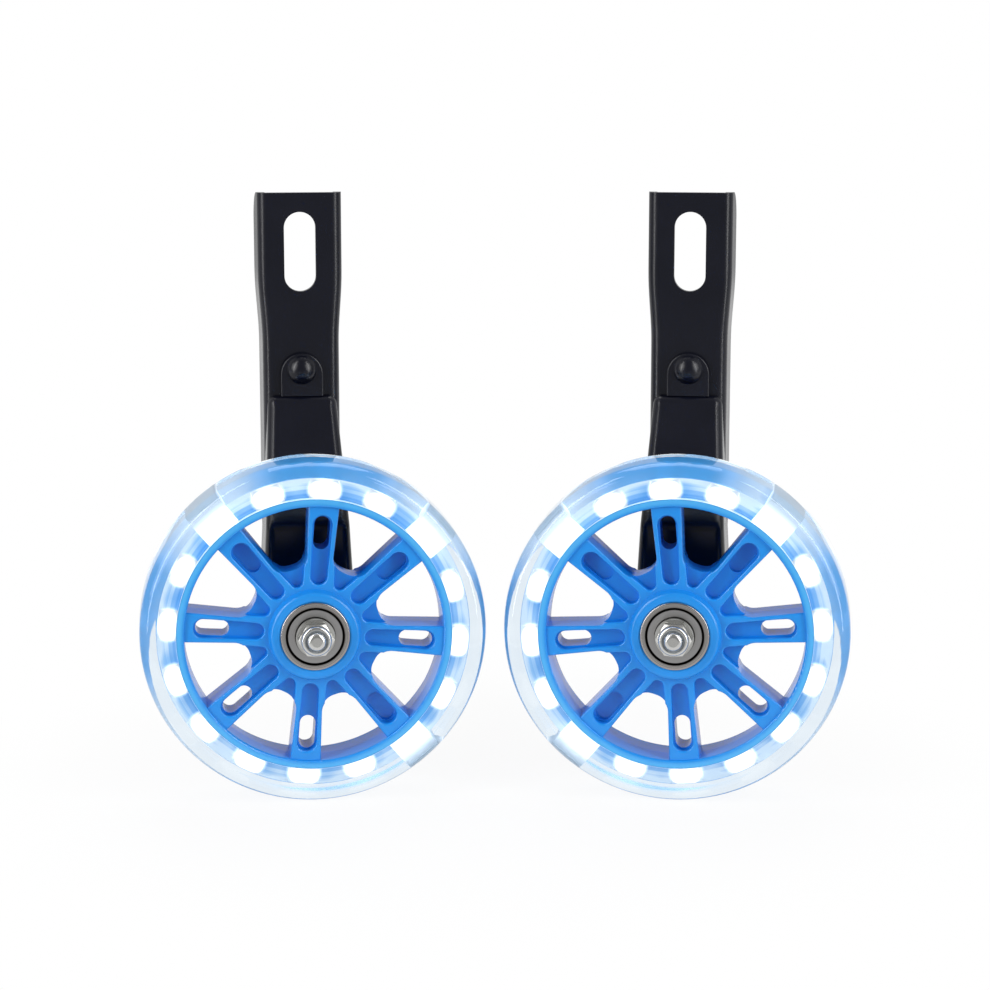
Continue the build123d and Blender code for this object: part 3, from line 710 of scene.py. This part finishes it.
def make_turned_steel(name, side, tones, roughness, groove):
    """Bright steel, ground, pressed or plated: fine rings about the axle stretch its highlights, and its
    tones carry painted shade in the groove between rings."""
    material, tree = start_material(f"{name} {side}")
    radius, _, depth = wheel_place(tree, side)
    run = add_node(tree, "ShaderNodeMath", {"operation": "ADD"}, links={0: radius, 1: depth})
    rings = add_node(
        tree,
        "ShaderNodeTexNoise",
        {"noise_dimensions": "1D"},
        {"Scale": 1 / STEEL_RING, "Detail": 3.0},
        {"W": run.outputs[0]},
    )
    place = add_node(
        tree,
        "ShaderNodeMapRange",
        values={"From Max": BEARING_RADIUS},
        links={"Value": radius},
    )
    tone = add_node(tree, "ShaderNodeValToRGB", links={"Fac": place.outputs[0]}, stops=tones)
    polish = add_node(
        tree,
        "ShaderNodeMapRange",
        values={"From Min": 0.3, "From Max": 0.7, "To Min": roughness, "To Max": roughness + 0.08},
        links={"Value": rings.outputs["Fac"]},
    )
    bump = add_node(
        tree,
        "ShaderNodeBump",
        values={"Strength": 0.3, "Distance": groove},
        links={"Height": rings.outputs["Fac"]},
    )
    shader = add_node(
        tree,
        "ShaderNodeBsdfPrincipled",
        values={"Metallic": 1.0},
        links={
            "Base Color": tone.outputs["Color"],
            "Roughness": polish.outputs[0],
            "Normal": bump.outputs["Normal"],
        },
    )
    show(tree, shader)
    return material


def make_plain(name, hex_low, hex_high, roughness, grain, metallic=0.0):
    """A plain finish whose tone drifts a little over a grain of a given size."""
    material, tree = start_material(name)
    coords = add_node(tree, "ShaderNodeTexCoord")
    noise = add_node(
        tree,
        "ShaderNodeTexNoise",
        values={"Scale": 1 / grain, "Detail": 3.0},
        links={"Vector": coords.outputs["Object"]},
    )
    tone = add_node(
        tree,
        "ShaderNodeValToRGB",
        links={"Fac": noise.outputs["Fac"]},
        stops=[(0.3, hex_low), (0.7, hex_high)],
    )
    shader = add_node(
        tree,
        "ShaderNodeBsdfPrincipled",
        values={"Roughness": roughness, "Metallic": metallic},
        links={"Base Color": tone.outputs["Color"]},
    )
    show(tree, shader)
    return material


def make_tyre(side):
    """The clear tyre, spun from the solid's own section, without the rooms for what it is cast round."""
    centre, _, up, out = wheel_axes(side)
    section = [
        (RIM_RADIUS - TYRE_SEAT, -RIM_WIDTH / 2),
        (RIM_RADIUS, -RIM_WIDTH / 2),
        (RIM_RADIUS + TYRE_LIP, -TYRE_WIDTH / 2),
        (TYRE_RADIUS, -TYRE_WIDTH / 2),
        (TYRE_RADIUS, TYRE_WIDTH / 2),
        (RIM_RADIUS + TYRE_LIP, TYRE_WIDTH / 2),
        (RIM_RADIUS, RIM_WIDTH / 2),
        (RIM_RADIUS - TYRE_SEAT, RIM_WIDTH / 2),
    ]
    bm = bmesh.new()
    ring = [bm.verts.new(centre + up * radius + out * depth) for radius, depth in section]
    shoulders = [corner for corner, (radius, _) in zip(ring, section) if radius == TYRE_RADIUS]
    for first, second in zip(ring, ring[1:] + ring[:1]):
        bm.edges.new((first, second))
    bmesh.ops.bevel(
        bm,
        geom=shoulders,
        offset=TYRE_SHOULDER,
        offset_type="OFFSET",
        segments=SHOULDER_STEPS,
        profile=0.5,
        affect="VERTICES",
        material=-1,
    )
    bmesh.ops.spin(
        bm,
        geom=bm.verts[:] + bm.edges[:],
        cent=centre,
        axis=out,
        angle=2 * pi,
        steps=TYRE_STEPS,
        use_merge=True,
        use_duplicate=False,
    )
    bmesh.ops.remove_doubles(bm, verts=bm.verts[:], dist=MERGE_DISTANCE)
    bmesh.ops.recalc_face_normals(bm, faces=bm.faces[:])
    mesh = bpy.data.meshes.new(f"{side}_clear_tyre")
    bm.to_mesh(mesh)
    bm.free()
    mesh.shade_smooth()
    mesh.set_sharp_from_angle(angle=SHARP_ANGLE)
    tyre = bpy.data.objects.new(f"{side}_clear_tyre", mesh)
    bpy.context.scene.collection.objects.link(tyre)
    mesh.materials.append(make_tyre_clear(side))
    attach(tyre, f"{side}_wheel")
    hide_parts(f"{side}_tyre")


powder_coat = make_powder_coat()
# Moulded acetal: an even, half matt black
spacer_black = make_plain("black moulded acetal", "1b1b1d", "232325", roughness=0.5, grain=6 * MM)
# Plain nylon: a greyish, waxy ring in the nut
insert_nylon = make_plain("plain nylon", "8b9299", "989fa6", roughness=0.45, grain=2 * MM)
# Sintered ferrite: a dull, dark grey with a fine grain
ferrite = make_plain("bare ferrite", "2a2a2c", "37373a", roughness=0.6, grain=1.5 * MM)
# Soft iron, drawn and bare: a dull grey metal
soft_iron = make_plain("bare soft iron", "77777a", "8d8d90", roughness=0.42, grain=2 * MM, metallic=1.0)
# Circuit film: white and matt
strip_film = make_plain("flexible circuit film", "d9dcdc", "eceeee", roughness=0.55, grain=4 * MM)
for side in SIDES:
    paint(powder_coat, f"{side}_mounting_channel", f"{side}_wheel_arm", f"{side}_arm_rivet")
    paint(make_hub_blue(side), f"{side}_wheel_hub")
    zinc = make_turned_steel("bright zinc plate", side, ZINC_TONES, roughness=0.16, groove=0.01 * MM)
    paint(zinc, *(f"{side}_{name}" for name in ZINC_PLATED))
    ground = make_turned_steel("ground bearing steel", side, RACE_TONES, roughness=0.2, groove=0.015 * MM)
    pressed = make_turned_steel("pressed steel shield", side, SHIELD_TONES, roughness=0.3, groove=0.02 * MM)
    for end in ("front", "rear"):
        bearing = f"{side}_{end}_bearing"
        paint(ground, f"{bearing}_outer_ring", f"{bearing}_inner_ring", f"{bearing}_balls")
        paint(pressed, f"{bearing}_shields", f"{bearing}_cage")
    paint(spacer_black, f"{side}_bearing_spacer")
    paint(insert_nylon, f"{side}_nut_insert")
    paint(ferrite, f"{side}_magnet_ring")
    paint(soft_iron, f"{side}_core_pins")
    paint(strip_film, f"{side}_lamp_strip")
    paint(make_lamp_light(side), f"{side}_lamps")
    paint(make_block_white(side), f"{side}_coil_blocks")
    paint(make_carrier_blue(side), f"{side}_lamp_carrier")
    make_tyre(side)


# Studio
def make_world():
    """A white studio, dimmer on the camera's side, where mirrored rays and rays through clear pieces
    look out."""
    world = bpy.data.worlds.new("white studio")
    bpy.context.scene.world = world
    world.use_nodes = True
    tree = world.node_tree
    tree.nodes.clear()
    coords = add_node(tree, "ShaderNodeTexCoord")
    parts = add_node(tree, "ShaderNodeSeparateXYZ", links={0: coords.outputs["Generated"]})
    front = add_node(
        tree,
        "ShaderNodeMapRange",
        {"interpolation_type": "SMOOTHSTEP"},
        {
            "From Min": LOW_FRONT_RISE,
            "From Max": HIGH_FRONT_RISE,
            "To Min": LOW_FRONT_GLOSS,
            "To Max": HIGH_FRONT_GLOSS,
        },
        {"Value": parts.outputs["Z"]},
    )
    mirrored = add_node(
        tree,
        "ShaderNodeMapRange",
        {"interpolation_type": "SMOOTHSTEP"},
        {"From Min": GLOSS_FRONT, "From Max": GLOSS_BACK, "To Max": BACK_GLOSS},
        {"Value": parts.outputs["Y"], "To Min": front.outputs[0]},
    )
    clear = add_node(
        tree,
        "ShaderNodeMapRange",
        {"interpolation_type": "SMOOTHSTEP"},
        {"From Min": CLEAR_FRONT, "From Max": CLEAR_BACK, "To Min": FRONT_CLEAR},
        {"Value": parts.outputs["Y"]},
    )
    path = add_node(tree, "ShaderNodeLightPath")
    bright = add_node(
        tree,
        "ShaderNodeMix",
        links={
            "Factor": path.outputs["Is Transmission Ray"],
            "A": mirrored.outputs[0],
            "B": clear.outputs[0],
        },
    )
    sharp = add_node(
        tree,
        "ShaderNodeMath",
        {"operation": "MAXIMUM"},
        links={0: path.outputs["Is Glossy Ray"], 1: path.outputs["Is Transmission Ray"]},
    )
    level = add_node(
        tree,
        "ShaderNodeMix",
        values={"A": AMBIENT},
        links={"Factor": sharp.outputs[0], "B": bright.outputs[0]},
    )
    shown = add_node(
        tree,
        "ShaderNodeMix",
        values={"B": 1.0},
        links={"Factor": path.outputs["Is Camera Ray"], "A": level.outputs[0]},
    )
    shader = add_node(
        tree,
        "ShaderNodeBackground",
        values={"Color": linear("ffffff")},
        links={"Strength": shown.outputs[0]},
    )
    add_node(tree, "ShaderNodeOutputWorld", links={"Surface": shader.outputs[0]})


def soft_box(name, place, width, height, level):
    """A lamp that faces the set, with its strength as the light it throws on a facing surface."""
    reach = Vector(place) - Vector((0, wheel_line, LAMP_AIM))
    data = bpy.data.lights.new(name, "AREA")
    data.shape = "RECTANGLE"
    data.size = width
    data.size_y = height
    data.energy = level * pi * pi * reach.length_squared
    lamp = bpy.data.objects.new(name, data)
    lamp.location = place
    lamp.rotation_euler = reach.to_track_quat("Z", "Y").to_euler()
    lamp.visible_camera = False
    bpy.context.scene.collection.objects.link(lamp)


def make_floor_white():
    """White paint: it keeps the set's soft shadow near it, is plain white further off and mirrors dimly."""
    material, tree = start_material("white floor")
    coords = add_node(tree, "ShaderNodeTexCoord")
    away = add_node(
        tree,
        "ShaderNodeVectorMath",
        {"operation": "LENGTH"},
        links={0: coords.outputs["Object"]},
    )
    share = add_node(
        tree,
        "ShaderNodeMapRange",
        {"interpolation_type": "SMOOTHSTEP"},
        {"From Min": SHADOW_NEAR, "From Max": SHADOW_FAR, "To Min": SHADOW_SHARE, "To Max": 0.0},
        {"Value": away.outputs["Value"]},
    )
    mirrored = add_node(
        tree,
        "ShaderNodeMapRange",
        {"interpolation_type": "SMOOTHSTEP"},
        {"From Min": MIRROR_NEAR, "From Max": MIRROR_FAR, "To Min": FLOOR_GLOSS, "To Max": FAR_FLOOR_GLOSS},
        {"Value": away.outputs["Value"]},
    )
    path = add_node(tree, "ShaderNodeLightPath")
    straight = add_node(
        tree,
        "ShaderNodeMath",
        {"operation": "MAXIMUM"},
        links={0: path.outputs["Is Camera Ray"], 1: path.outputs["Is Transmission Ray"]},
    )
    level = add_node(
        tree,
        "ShaderNodeMix",
        values={"B": 1.0},
        links={"Factor": straight.outputs[0], "A": mirrored.outputs[0]},
    )
    white = add_node(tree, "ShaderNodeEmission", links={"Strength": level.outputs[0]})
    matt = add_node(tree, "ShaderNodeBsdfDiffuse", values={"Color": linear("f2f2f2")})
    shadowed = add_node(
        tree,
        "ShaderNodeMixShader",
        links={"Fac": share.outputs[0], 1: white.outputs[0], 2: matt.outputs[0]},
    )
    seen = add_node(
        tree,
        "ShaderNodeMath",
        {"operation": "MAXIMUM"},
        links={0: straight.outputs[0], 1: path.outputs["Is Glossy Ray"]},
    )
    mix = add_node(
        tree,
        "ShaderNodeMixShader",
        links={"Fac": seen.outputs[0], 1: matt.outputs[0], 2: shadowed.outputs[0]},
    )
    show(tree, mix)
    return material


def make_floor():
    """A plain white floor under and behind the set."""
    bm = bmesh.new()
    bmesh.ops.create_grid(bm, x_segments=1, y_segments=1, size=0.5)
    bmesh.ops.scale(bm, verts=bm.verts[:], vec=(FLOOR_WIDTH, FLOOR_DEPTH, 1.0))
    bmesh.ops.translate(bm, verts=bm.verts[:], vec=(0, FLOOR_BACK, 0))
    mesh = bpy.data.meshes.new("floor")
    bm.to_mesh(mesh)
    bm.free()
    mesh.materials.append(make_floor_white())
    floor = bpy.data.objects.new("floor", mesh)
    bpy.context.scene.collection.objects.link(floor)


make_world()
make_floor()
for side, hand in zip(SIDES, HANDS):
    box_place = (hand * SIDE_BOX_X, SIDE_BOX_Y, SIDE_BOX_Z)
    soft_box(f"{side} box", box_place, BOX_SIZE, BOX_SIZE, SIDE_BOX_LEVEL)
soft_box("top box", TOP_BOX_PLACE, BOX_SIZE, BOX_SIZE, TOP_BOX_LEVEL)
for side, hand in zip(SIDES, HANDS):
    strip_place = (hand * STRIP_X, STRIP_Y, STRIP_Z)
    soft_box(f"{side} strip", strip_place, STRIP_WIDTH, STRIP_HEIGHT, STRIP_LEVEL)
